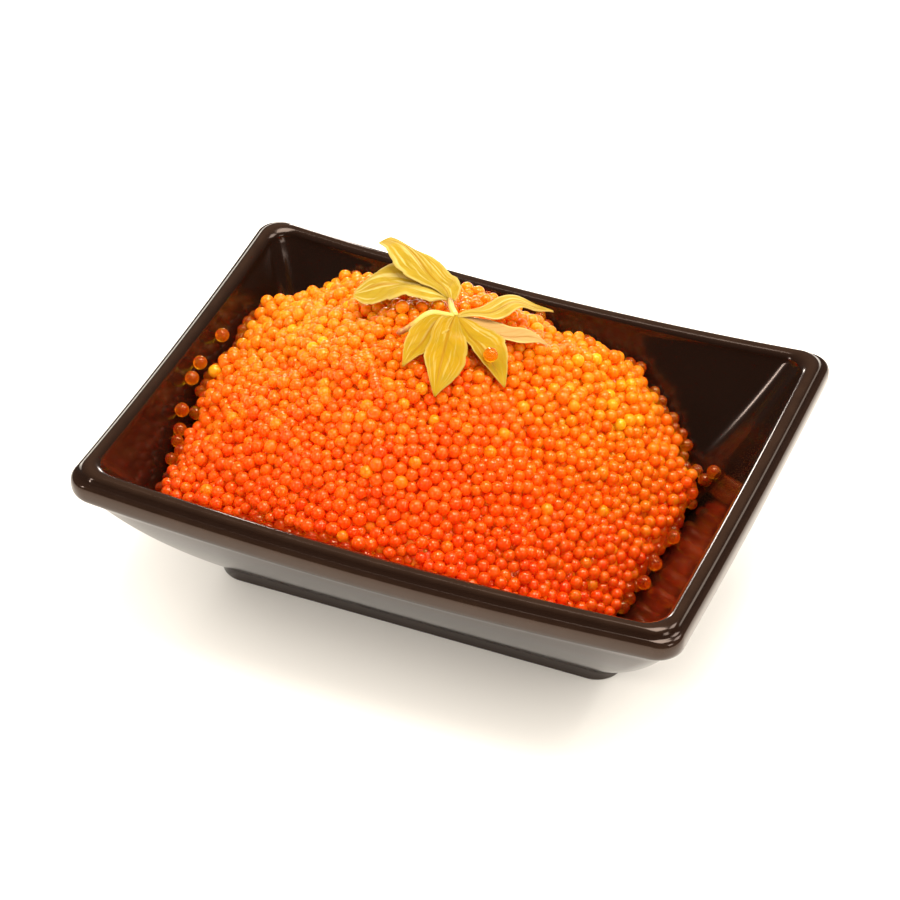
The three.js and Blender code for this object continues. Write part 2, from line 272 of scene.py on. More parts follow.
@dataclass(frozen=True)
class Glaze:
    """A glossy near-black brown glaze, browner where it has run thin and bare under the foot."""

    deep: Colour = (0.0075, 0.0028, 0.0014)
    thin: Colour = (0.0195, 0.0092, 0.0050)
    clay: Colour = (0.06, 0.034, 0.022)
    sheen: Colour = (0.80, 0.63, 0.54)
    gloss: float = 0.12
    gloss_change: float = 0.05
    gloss_blotch: float = 3.0
    clay_roughness: float = 0.75
    ior: float = 1.52
    thin_blotch: float = 3.5
    thin_least: float = 0.2
    thin_change: float = 1.5
    waves: float = 11.0
    wave_depth: float = 0.022
    pits: float = 2.2
    pit_depth: float = 0.0016

    def material(self) -> bpy.types.Material:
        """Makes the glaze's material.

        Returns:
            The material.
        """
        tree = Tree(bpy.data.materials.new("dark_brown_glaze"))
        bare = tree.attribute("bare")
        cloud = tree.noise(self.thin_blotch, detail=5.0)
        thin = (tree.attribute("thin") * (self.thin_least + self.thin_change * cloud)).clamped()
        colour = tree.blend(thin, self.deep, self.thin)
        colour = tree.blend(bare, colour, self.clay)
        mottle = self.gloss_change * tree.noise(self.gloss_blotch, detail=3.0)
        roughness = self.gloss + mottle + self.clay_roughness * bare
        waves = tree.bump(tree.noise(self.waves, detail=1.0), self.wave_depth)
        normal = tree.bump(tree.noise(self.pits, detail=2.0), self.pit_depth, waves)
        return tree.finished(tree.principled({
            "Base Color": colour,
            "Roughness": roughness,
            "IOR": self.ior,
            "Specular Tint": self.sheen,
            "Normal": normal,
        }))


@dataclass(frozen=True)
class EggSkin:
    """The wet translucent skin of an egg, from deep red to golden by each egg's tone, which holds painted
    light and shade as well as the egg's own colour.
    """

    name: str
    clarity: float
    red: Colour = (0.85, 0.045, 0.001)
    vermilion: Colour = (1.0, 0.11, 0.002)
    orange: Colour = (1.0, 0.20, 0.003)
    golden: Colour = (1.0, 0.33, 0.006)
    yellow: Colour = (1.0, 0.48, 0.012)
    red_glass: Colour = (1.0, 0.36, 0.008)
    yellow_glass: Colour = (1.0, 0.66, 0.02)
    sheen: Colour = (1.0, 0.75, 0.48)
    gloss: float = 0.20
    ior: float = 1.44
    scatter: Colour = (1.0, 0.28, 0.05)
    scatter_depth: float = 1.6

    def material(self) -> bpy.types.Material:
        """Makes the skin's material.

        Returns:
            The material.
        """
        tree = Tree(bpy.data.materials.new(self.name))
        # The tone carries painted light and shade: golden where light falls, red where the heap is in shade.
        tone = tree.attribute("tone")
        stops = [(0.0, self.red), (0.3, self.vermilion), (0.55, self.orange), (0.8, self.golden)]
        settings = {"stops": [*stops, (1.0, self.yellow)]}
        colour = tree.node("ShaderNodeValToRGB", settings, {"Fac": tone}, "Color")
        skin = tree.principled({
            "Base Color": colour,
            "Roughness": self.gloss,
            "IOR": self.ior,
            "Specular IOR Level": 1.0,
            "Specular Tint": self.sheen,
            "Subsurface Weight": 1.0,
            "Subsurface Radius": self.scatter,
            "Subsurface Scale": self.scatter_depth * MM,
        })
        glass = tree.principled({
            "Base Color": tree.blend(tone, self.red_glass, self.yellow_glass),
            "Roughness": 0.5 * self.gloss,
            "IOR": self.ior,
            "Specular IOR Level": 1.0,
            "Specular Tint": self.sheen,
            "Transmission Weight": 1.0,
        })
        both = tree.node("ShaderNodeMixShader", {}, {0: self.clarity, 1: skin, 2: glass})
        return tree.finished(both)


@dataclass(frozen=True)
class RoeCore:
    """The wet mass of packed eggs that shows between the eggs on top."""

    dark: Colour = (0.95, 0.075, 0.001)
    light: Colour = (1.0, 0.17, 0.002)
    roughness: float = 0.25
    blotch: float = 1.6
    scatter: Colour = (1.0, 0.28, 0.05)
    scatter_depth: float = 2.5

    def material(self) -> bpy.types.Material:
        """Makes the core's material.

        Returns:
            The material.
        """
        tree = Tree(bpy.data.materials.new("packed_roe"))
        cloud = tree.noise(self.blotch, detail=2.0)
        colour = tree.blend(cloud.over(0.35, 0.65), self.dark, self.light)
        return tree.finished(tree.principled({
            "Base Color": colour,
            "Roughness": self.roughness,
            "Subsurface Weight": 1.0,
            "Subsurface Radius": self.scatter,
            "Subsurface Scale": self.scatter_depth * MM,
        }))


@dataclass(frozen=True)
class LeafSkin:
    """A thin yellow leaf with darker veins, pale edges and a few blotches."""

    yellow: Colour = (0.42, 0.235, 0.002)
    lemon: Colour = (0.44, 0.30, 0.022)
    pale: Colour = (0.66, 0.52, 0.16)
    vein: Colour = (0.34, 0.14, 0.003)
    olive: Colour = (0.33, 0.21, 0.004)
    blush: Colour = (0.56, 0.32, 0.11)
    glow: Colour = (0.50, 0.31, 0.01)
    side_veins: float = 6.0
    slant: float = 0.32
    rib_share: float = 0.35
    vein_share: float = 0.6
    streak_across: float = 4.5
    streak_along: float = 1.3
    streak_apart: float = 9.0
    streak_scale: float = 1.6
    edge_blotch: float = 1.5
    blotch_share: float = 0.6
    blotch: float = 2.6
    relief_depth: float = 0.10
    roughness: float = 0.5
    ior: float = 1.35
    specular: float = 0.15
    see_through: float = 0.36

    def material(self) -> bpy.types.Material:
        """Makes the leaf's material.

        Returns:
            The material.
        """
        tree = Tree(bpy.data.materials.new("yellow_leaf"))
        along = tree.attribute("along")
        side = tree.attribute("across")
        across = abs(side)
        pallor = tree.attribute("pallor")
        streak = self.streaks(tree, along, side, pallor)
        blotch = tree.noise(self.blotch, detail=3.0).over(0.46, 0.70)
        colour = tree.blend(pallor.clamped(), self.yellow, self.lemon)
        colour = tree.blend(self.blotch_share * blotch, colour, self.olive)
        colour = tree.blend(streak.over(0.5, 0.68) * (0.35 + 0.6 * pallor).clamped(), colour, self.pale)
        colour = tree.blend((0.8 * (pallor - 1)).clamped(), colour, self.blush)
        veins = self.veins(tree, along, across)
        colour = tree.blend(self.vein_share * veins, colour, self.vein)
        edge = across.over(0.80, 1.0) * (0.2 + tree.noise(self.edge_blotch)) * (0.4 + 0.6 * pallor)
        colour = tree.blend(edge.clamped(), colour, self.pale)
        relief = tree.bump(streak - 0.4 * veins, self.relief_depth)
        skin = tree.principled({
            "Base Color": colour,
            "Roughness": self.roughness,
            "IOR": self.ior,
            "Specular IOR Level": self.specular,
            "Normal": relief,
        })
        glow = tree.node("ShaderNodeBsdfTranslucent", {}, {"Color": self.glow})
        both = tree.node("ShaderNodeMixShader", {}, {0: self.see_through, 1: skin, 2: glow})
        return tree.finished(both)

    def streaks(self, tree: Tree, along: Link, side: Link, pallor: Link) -> Link:
        """Draws fine streaks that run out along a lobe.

        Args:
            tree: the leaf's tree.
            along: the place from the joint to the tip.
            side: the place from edge to edge.
            pallor: the lobe's pallor, which sets its streaks apart from the next lobe's.

        Returns:
            A value around 0.5.
        """
        place = tree.node("ShaderNodeCombineXYZ", {}, {
            "X": self.streak_across * side,
            "Y": self.streak_along * along,
            "Z": self.streak_apart * pallor,
        })
        inputs = {"Vector": place, "Scale": self.streak_scale, "Detail": 3.0}
        return tree.node("ShaderNodeTexNoise", {}, inputs, "Fac")

    def veins(self, tree: Tree, along: Link, across: Link) -> Link:
        """Draws the midrib and the side veins that slant away from it.

        Args:
            tree: the leaf's tree.
            along: the place from the joint to the tip.
            across: the distance from the midrib, which is 1 at the edge.

        Returns:
            A mask that is 1 on the midrib.
        """
        ray = tree.math("FRACT", (along - self.slant * across) * self.side_veins)
        ribs = abs(ray - 0.5).over(0.13, 0.02) * across.over(1.0, 0.75)
        midrib = across.over(0.11, 0.02)
        return tree.math("MAXIMUM", self.rib_share * ribs, midrib) * along.over(1.0, 0.8)


@dataclass(frozen=True)
class StalkSkin:
    """The pale green-yellow stalk, browned towards its cut end."""

    green: Colour = (0.50, 0.37, 0.06)
    brown: Colour = (0.30, 0.09, 0.02)
    roughness: float = 0.4
    mottle: float = 0.7
    grain: float = 0.25
    grain_depth: float = 0.05

    def material(self) -> bpy.types.Material:
        """Makes the stalk's material.

        Returns:
            The material.
        """
        tree = Tree(bpy.data.materials.new("pale_stalk"))
        browned = tree.attribute("along").over(0.55, 0.95)
        mottled = tree.noise(self.mottle, detail=3.0).over(0.3, 0.7)
        colour = tree.blend((browned * (0.5 + mottled)).clamped(), self.green, self.brown)
        return tree.finished(tree.principled({
            "Base Color": colour,
            "Roughness": self.roughness,
            "Normal": tree.bump(tree.noise(self.grain), self.grain_depth),
        }))


@dataclass(frozen=True)
class Tabletop:
    """The plain white surface that the dish stands on."""

    white: Colour = (0.86, 0.81, 0.74)
    shaded: Colour = (0.83, 0.78, 0.71)
    shading: float = 0.02
    blotch: float = 40.0
    roughness: float = 0.9

    def material(self) -> bpy.types.Material:
        """Makes the tabletop's material.

        Returns:
            The material.
        """
        tree = Tree(bpy.data.materials.new("white_tabletop"))
        cloud = tree.noise(self.blotch, detail=1.0)
        colour = tree.blend(self.shading * cloud, self.white, self.shaded)
        return tree.finished(tree.principled({"Base Color": colour, "Roughness": self.roughness}))


def mesh_object(
    name: str,
    points: np.ndarray,
    faces: Sequence[Sequence[int]] | np.ndarray,
    material: bpy.types.Material,
    values: Mapping[str, np.ndarray] | None = None,
) -> bpy.types.Object:
    """Makes a smooth-shaded mesh object.

    Args:
        name: the object's name.
        points: its points, in millimetres.
        faces: the points of each face.
        material: its finish.
        values: a number at each point, by name, for the material to read.

    Returns:
        The object, linked into the scene.
    """
    mesh = bpy.data.meshes.new(name)
    if isinstance(faces, np.ndarray):
        fill_triangles(mesh, points, faces)
    else:
        mesh.from_pydata((points * MM).tolist(), [], [tuple(face) for face in faces])
    mesh.polygons.foreach_set("use_smooth", np.ones(len(mesh.polygons), dtype=bool))
    for label, numbers in (values or {}).items():
        attribute = mesh.attributes.new(label, "FLOAT", "POINT")
        attribute.data.foreach_set("value", np.asarray(numbers, dtype=np.float32))
    mesh.materials.append(material)
    mesh.update()
    mesh.validate()
    piece = bpy.data.objects.new(name, mesh)
    bpy.context.scene.collection.objects.link(piece)
    return piece


def fill_triangles(mesh: bpy.types.Mesh, points: np.ndarray, faces: np.ndarray) -> None:
    """Gives a mesh many triangles at once.

    Args:
        mesh: the empty mesh.
        points: its points, in millimetres.
        faces: three points for each triangle.
    """
    mesh.vertices.add(len(points))
    mesh.vertices.foreach_set("co", (points * MM).astype(np.float32).ravel())
    mesh.loops.add(faces.size)
    mesh.loops.foreach_set("vertex_index", faces.astype(np.int32).ravel())
    mesh.polygons.add(len(faces))
    mesh.polygons.foreach_set("loop_start", np.arange(0, faces.size, 3, dtype=np.int32))
    mesh.update(calc_edges=True)


def ring_faces(rings: int, count: int, flipped: bool = False) -> list[tuple[int, ...]]:
    """Joins closed rings of points, one after the other, with four-sided faces.

    Args:
        rings: how many rings there are.
        count: how many points each ring has.
        flipped: whether the faces look the other way.

    Returns:
        The points of each face.
    """
    faces: list[tuple[int, ...]] = []
    for start in range(0, (rings - 1) * count, count):
        for i in range(count):
            a, b = start + i, start + (i + 1) % count
            if flipped:
                a, b = b, a
            faces.append((a, b, b + count, a + count))
    return faces


def report(piece: bpy.types.Object) -> None:
    """Logs one finished piece."""
    log.info("%s: %d faces", piece.name, len(piece.data.polygons))


def mix(start: float, end: float, share: float) -> float:
    """Gives the value a share of the way from start to end."""
    return start + (end - start) * share


@dataclass
class Level:
    """One closed ring of points round the dish, with how thin and how bare its glaze is."""

    points: np.ndarray
    thin: float = 0.0
    bare: float = 0.0


@dataclass(frozen=True)
class ThinBand:
    """A soft band where the glaze has run thin, across a wall's share or a round edge's turn."""

    most: float
    middle: float
    reach: float

    def at(self, place: float) -> float:
        """Gives how thin the glaze is at a place."""
        return self.most * math.exp(-(((place - self.middle) / self.reach) ** 2))


@dataclass
class Dish:
    """The rectangular dish: foot ring, flared walls, lip, ridge and hollow."""

    half_length: float = 41.0
    half_width: float = 30.5
    rim_height: float = 22.75
    rim_corner: float = 3.2
    upsweep: float = 0.00105
    ridge_half_width: float = 1.1
    ridge_rise: float = 1.0
    ridge_overhang: float = 0.1
    ridge_turns: tuple[float, float] = (20, 172)
    ridge_steps: int = 18
    ridge_thin: ThinBand = ThinBand(1.0, 80, 42)
    lip_reach: float = 1.1
    lip_depth: float = 1.3
    lip_drop: float = 2.7
    lip_half_height: float = 1.67
    lip_squareness: float = 0.72
    lip_turns: tuple[float, float] = (-82, 74)
    lip_steps: int = 22
    lip_thin: ThinBand = ThinBand(0.9, 15, 38)
    foot_half_length: float = 28.7
    foot_half_width: float = 16.1
    foot_height: float = 1.75
    foot_corner: float = 3.6
    foot_ring_width: float = 2.6
    foot_recess: float = 0.9
    foot_edge: float = 0.3
    foot_chamfer: float = 0.1
    recess_flat: float = 9.0
    recess_edge: tuple[float, float] = (0.12, 0.08)
    recess_slope: float = 0.6
    recess_corner: float = 2.1
    bulge: float = 0.7
    wall_steps: int = 16
    wall_end: float = 0.94
    wall_thin: ThinBand = ThinBand(0.25, 0.0, 0.1)
    floor_half_length: float = 26.5
    floor_half_width: float = 14.3
    floor_height: float = 4.2
    floor_corner: float = 5.6
    floor_fillet: float = 2.2
    inner_top_inset: float = 2.35
    inner_top_down: float = 1.4
    inner_top_corner: float = 3.6
    fillet_from: float = 0.9
    fillet_steps: int = 6
    floor_shares: tuple[float, ...] = (0.7, 0.4)
    along_slope: float = 1.3
    corner_steps: int = 14
    long_steps: int = 26
    short_steps: int = 20
    glaze: Glaze = field(default_factory=Glaze)

    def level(
        self,
        half_length: float,
        half_width: float,
        corner: float,
        height: float,
        upsweep: float = 0.0,
        thin: float = 0.0,
        bare: float = 0.0,
    ) -> Level:
        """Makes a rectangle with round corners whose height rises towards the corners.

        Args:
            half_length: half its length.
            half_width: half its width.
            corner: the radius of its corners.
            height: its height at the middle of the dish.
            upsweep: how much of the rim's rise towards the corners it follows.
            thin: how thin the glaze is there.
            bare: how bare the clay is there.

        Returns:
            The level.
        """
        corners = []
        for quarter, (side_x, side_y) in enumerate(((1, 1), (-1, 1), (-1, -1), (1, -1))):
            angles = np.radians(90 * (quarter + np.linspace(0, 1, self.corner_steps + 1)))
            middle = np.array([side_x * (half_length - corner), side_y * (half_width - corner)])
            arc = middle + corner * np.column_stack([np.cos(angles), np.sin(angles)])
            corners.append(arc)
        outline = []
        for quarter, arc in enumerate(corners):
            after = corners[(quarter + 1) % 4][0]
            steps = self.short_steps if quarter % 2 else self.long_steps
            shares = np.linspace(0, 1, steps + 1)[1:-1, None]
            outline.append(arc)
            outline.append(arc[-1] + (after - arc[-1]) * shares)
        flat = np.vstack(outline)
        rise = upsweep * self.upsweep * (flat**2).sum(axis=1)
        return Level(np.column_stack([flat, height + rise]), thin, bare)

    def rim_level(self, outward: float, down: float, thin: float) -> Level:
        """Makes a level measured out from the rim's edge and down from its top."""
        length, width = self.half_length + outward, self.half_width + outward
        return self.level(length, width, self.rim_corner, self.rim_height - down, 1.0, thin)

    def foot_levels(self) -> Iterable[Level]:
        """Gives the recess under the foot, the ring that it stands on and the foot's side.

        Yields:
            The levels, from the middle of the recess outwards.
        """
        inset = self.foot_ring_width + self.recess_slope
        edge_in, edge_up = self.recess_edge
        places = [
            (inset + self.recess_flat, self.recess_corner, self.foot_recess, 1.0),
            (inset, self.recess_corner, self.foot_recess, 1.0),
            (self.foot_ring_width + edge_in, self.recess_corner, edge_up, 1.0),
            (self.foot_ring_width - self.foot_chamfer, self.recess_corner, 0.0, 1.0),
            (self.foot_edge, self.foot_corner, 0.0, 1.0),
            (0.3 * self.foot_edge, self.foot_corner, 0.3 * self.foot_edge, 0.5),
            (0.0, self.foot_corner, self.foot_edge, 0.0),
        ]
        for taken, corner, height, bare in places:
            length, width = self.foot_half_length - taken, self.foot_half_width - taken
            yield self.level(length, width, corner, height, bare=bare)

    def wall_levels(self) -> Iterable[Level]:
        """Gives the flared outside of the walls.

        Yields:
            The levels, from the foot up to the lip.
        """
        under = self.lip_reach - self.lip_depth
        top = self.rim_height - self.lip_drop - self.lip_half_height
        for share in np.linspace(0, self.wall_end, self.wall_steps):
            bulge = self.bulge * 4 * share * (1 - share)
            yield self.level(
                mix(self.foot_half_length, self.half_length + under, share) + bulge,
                mix(self.foot_half_width, self.half_width + under, share) + bulge,
                mix(self.foot_corner, self.rim_corner, share),
                mix(self.foot_height, top, share),
                share,
                thin=self.wall_thin.at(share),
            )

    def lip_levels(self) -> Iterable[Level]:
        """Gives the lip below the rim, round at its edges and nearly flat between them.

        Yields:
            The levels, from the lip's lower edge up.
        """
        for degrees in np.linspace(*self.lip_turns, self.lip_steps):
            turn = math.radians(degrees)
            across = math.cos(turn) ** self.lip_squareness
            up = math.copysign(abs(math.sin(turn)) ** self.lip_squareness, turn)
            outward = self.lip_reach - self.lip_depth * (1 - across)
            down = self.lip_drop - self.lip_half_height * up
            yield self.rim_level(outward, down, self.lip_thin.at(degrees))

    def ridge_levels(self) -> Iterable[Level]:
        """Gives the half-round ridge along the top of the rim.

        Yields:
            The levels, from the ridge's outer edge over to its inner edge.
        """
        for degrees in np.linspace(*self.ridge_turns, self.ridge_steps):
            turn = math.radians(degrees)
            outward = self.ridge_half_width * (math.cos(turn) - 1) + self.ridge_overhang
            down = self.ridge_rise * (1 - math.sin(turn))
            yield self.rim_level(outward, down, self.ridge_thin.at(degrees))

    def inner_sizes(self, share: np.ndarray | float) -> tuple[np.ndarray | float, ...]:
        """Gives the hollow's half length, half width and corner radius.

        Args:
            share: how far down the inside of the wall, from 0 at the ridge to 1 at the floor.

        Returns:
            The half length, the half width and the corner radius there.
        """
        bulge = self.bulge * 4 * share * (1 - share)
        length = mix(self.half_length - self.inner_top_inset, self.floor_half_length, share)
        width = mix(self.half_width - self.inner_top_inset, self.floor_half_width, share)
        return length + bulge, width + bulge, mix(self.inner_top_corner, self.floor_corner, share)

    def inner_levels(self) -> Iterable[Level]:
        """Gives the inside of the walls, the fillet at their foot and the floor.

        Yields:
            The levels, from the ridge down and in to the middle of the floor.
        """
        top = self.rim_height - self.inner_top_down
        for share in np.linspace(0, self.fillet_from, self.wall_steps):
            height = mix(top, self.floor_height, share)
            yield self.level(*self.inner_sizes(share), height, 1 - share)
        length, width, corner = self.inner_sizes(self.fillet_from)
        low = mix(top, self.floor_height, self.fillet_from)
        for share in np.linspace(0, 1, self.fillet_steps + 1)[1:]:
            inset = mix(0, length - self.floor_half_length + self.floor_fillet, share)
            height = mix(low, self.floor_height, 1 - (1 - share) ** 2)
            rise = (1 - self.fillet_from) * (1 - share * share)
            yield self.level(length - inset, width - inset, corner, height, rise)
        for share in self.floor_shares:
            inner = self.floor_half_width - self.floor_fillet
            taken = inner * (1 - share)
            half = self.floor_half_length - self.floor_fillet - taken
            yield self.level(half, inner - taken, corner * share, self.floor_height)

    def levels(self) -> list[Level]:
        """Gives every level in order, from under the foot, up the outside and down the inside."""
        outside = [*self.foot_levels(), *self.wall_levels(), *self.lip_levels()]
        return [*outside, *self.ridge_levels(), *self.inner_levels()]

    def gap(self, x: np.ndarray, y: np.ndarray, z: np.ndarray) -> np.ndarray:
        """Measures how far points are from the inside of the walls.

        Args:
            x: the points' places along the dish.
            y: the points' places across the dish.
            z: the points' heights.

        Returns:
            The distance to the nearest wall, below 0 inside the clay.
        """
        top = self.rim_height - self.inner_top_down + self.upsweep * (x**2 + y**2)
        share = np.clip((top - z) / (top - self.floor_height), 0, 1)
        length, width, corner = self.inner_sizes(share)
        past_x = np.abs(x) - (length - corner)
        past_y = np.abs(y) - (width - corner)
        outside = np.hypot(np.maximum(past_x, 0), np.maximum(past_y, 0))
        inside = np.minimum(np.maximum(past_x, past_y), 0)
        return (corner - outside - inside) / self.along_slope

    def build(self) -> bpy.types.Object:
        """Makes the dish in place of its plain solid.

        Returns:
            The dish.
        """
        levels = self.levels()
        count = len(levels[0].points)
        faces = ring_faces(len(levels), count)
        points = np.vstack([level.points for level in levels])
        under, floor = len(points), len(points) + 1
        points = np.vstack([points, levels[0].points.mean(axis=0), levels[-1].points.mean(axis=0)])
        last = (len(levels) - 1) * count
        for i in range(count):
            after = (i + 1) % count
            faces.append((after, i, under))
            faces.append((last + i, last + after, floor))
        thin = np.append(np.repeat([level.thin for level in levels], count), [0, 0])
        bare = np.append(np.repeat([level.bare for level in levels], count), [1, 0])
        values = {"thin": thin, "bare": bare}
        piece = mesh_object("glazed_dish", points, faces, self.glaze.material(), values)
        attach(piece, BODY)
        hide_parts("dish")
        report(piece)
        return piece


@dataclass(frozen=True)
class Dent:
    """A round hollow in the heap, or a round swelling where the depth is below 0."""

    x: float
    y: float
    size: float
    depth: float


@dataclass(frozen=True)
class Lump:
    """A long low wave over the heap."""

    height: float
    along_x: float
    along_y: float
    shift: float


@dataclass(frozen=True)
class HeapForm:
    """The heap's smooth form: a dome that leans on three walls and slopes to the floor at one end."""

    top: float = 33.5
    centre_x: float = -4.0
    centre_y: float = 2.0
    shoulder_drop: float = 13.0
    reach_left: float = 33.0
    reach_right: float = 23.0
    reach_front: float = 30.0
    reach_back: float = 29.0
    lean_right: float = 0.2
    lean_right_from: float = 10.0
    lean_left: float = 0.12
    lean_left_from: float = 5.0
    squareness: float = 2.6
    roundness: float = 1.8
    dents: tuple[Dent, ...] = (
        Dent(-34, 24, 4, 2.5),
        Dent(8, 27, 6, 3),
        Dent(31.5, 15, 4, -4),
    )
    lumps: tuple[Lump, ...] = (
        Lump(0.6, 0.35, 0.37, 1.3),
        Lump(0.4, 0.71, -0.5, 2),
        Lump(0.3, 0.55, 0.9, 0),
    )

    def height(self, x: np.ndarray, y: np.ndarray) -> np.ndarray:
        """Gives the heap's height.

        Args:
            x: places along the dish.
            y: places across the dish.

        Returns:
            The height at each place.
        """
        right = x > self.centre_x
        lean_right = -self.lean_right * (y - self.lean_right_from)
        lean_left = self.lean_left * (y - self.lean_left_from)
        lean = np.where(right, lean_right, lean_left)
        reach_x = np.where(right, self.reach_right, self.reach_left)
        reach_y = np.where(y > self.centre_y, self.reach_back, self.reach_front)
        along = np.abs(x + lean - self.centre_x) / reach_x
        across = np.abs(y - self.centre_y) / reach_y
        power = self.squareness
        distance = (along**power + across**power) ** (1 / power)
        height = self.top - self.shoulder_drop * distance**self.roundness
        for lump in self.lumps:
            height += lump.height * np.sin(lump.along_x * x + lump.along_y * y + lump.shift)
        for dent in self.dents:
            away = (x - dent.x) ** 2 + (y - dent.y) ** 2
            height -= dent.depth * np.exp(-away / dent.size**2)
        return height

    def outward(self, x: np.ndarray, y: np.ndarray) -> np.ndarray:
        """Gives the direction straight out of the heap's surface.

        Args:
            x: places along the dish.
            y: places across the dish.

        Returns:
            The direction at each place, one long.
        """
        step = 0.2
        slope_x = (self.height(x + step, y) - self.height(x - step, y)) / (2 * step)
        slope_y = (self.height(x, y + step) - self.height(x, y - step)) / (2 * step)
        normals = np.stack([-slope_x, -slope_y, np.ones_like(slope_x)], axis=-1)
        return normals / np.linalg.norm(normals, axis=-1, keepdims=True)


class EggKind(Enum):
    """The kinds of egg, each of which is one piece."""

    RED = "red_eggs"
    ORANGE = "orange_eggs"
    GOLDEN = "golden_eggs"
    CLEAR = "clear_eggs"
    SUNKEN_FRONT = "sunken_front_eggs"
    SUNKEN_BACK = "sunken_back_eggs"


@dataclass(frozen=True)
class Ball:
    """A geodesic ball of radius 1, made by splitting the faces of an icosahedron."""

    splits: int

    def shape(self) -> tuple[np.ndarray, np.ndarray]:
        """Makes the ball.

        Returns:
            Its points and its triangles.
        """
        golden = (1 + math.sqrt(5)) / 2
        points = [Vector(p).normalized() for p in (
            (-1, golden, 0), (1, golden, 0), (-1, -golden, 0), (1, -golden, 0),
            (0, -1, golden), (0, 1, golden), (0, -1, -golden), (0, 1, -golden),
            (golden, 0, -1), (golden, 0, 1), (-golden, 0, -1), (-golden, 0, 1),
        )]
        faces = [
            (0, 11, 5), (0, 5, 1), (0, 1, 7), (0, 7, 10), (0, 10, 11),
            (1, 5, 9), (5, 11, 4), (11, 10, 2), (10, 7, 6), (7, 1, 8),
            (3, 9, 4), (3, 4, 2), (3, 2, 6), (3, 6, 8), (3, 8, 9),
            (4, 9, 5), (2, 4, 11), (6, 2, 10), (8, 6, 7), (9, 8, 1),
        ]
        for _ in range(self.splits):
            middles: dict[tuple[int, int], int] = {}
            finer = []
            for face in faces:
                between = [self._middle(points, middles, face[i], face[(i + 1) % 3]) for i in range(3)]
                a, b, c = face
                ab, bc, ca = between
                finer += [(a, ab, ca), (b, bc, ab), (c, ca, bc), (ab, bc, ca)]
            faces = finer
        return np.array(points), np.array(faces)

    def _middle(
        self, points: list[Vector], middles: dict[tuple[int, int], int], a: int, b: int
    ) -> int:
        """Finds the point halfway along an edge, and adds it the first time.

        Args:
            points: the ball's points.
            middles: the halfway points so far, by edge.
            a: the edge's first point.
            b: the edge's second point.

        Returns:
            The halfway point's place among the points.
        """
        key = (min(a, b), max(a, b))
        if key not in middles:
            middles[key] = len(points)
            points.append(((points[a] + points[b]) / 2).normalized())
        return middles[key]


@dataclass
class Eggs:
    """Eggs by centre, radius and how far each one's centre must lie below the heap's surface."""

    centres: np.ndarray
    radii: np.ndarray
    depths: np.ndarray

    def picked(self, chosen: np.ndarray) -> "Eggs":
        """Gives some of the eggs."""
        return Eggs(self.centres[chosen], self.radii[chosen], self.depths[chosen])

    def __len__(self) -> int:
        """Counts the eggs."""
        return len(self.radii)


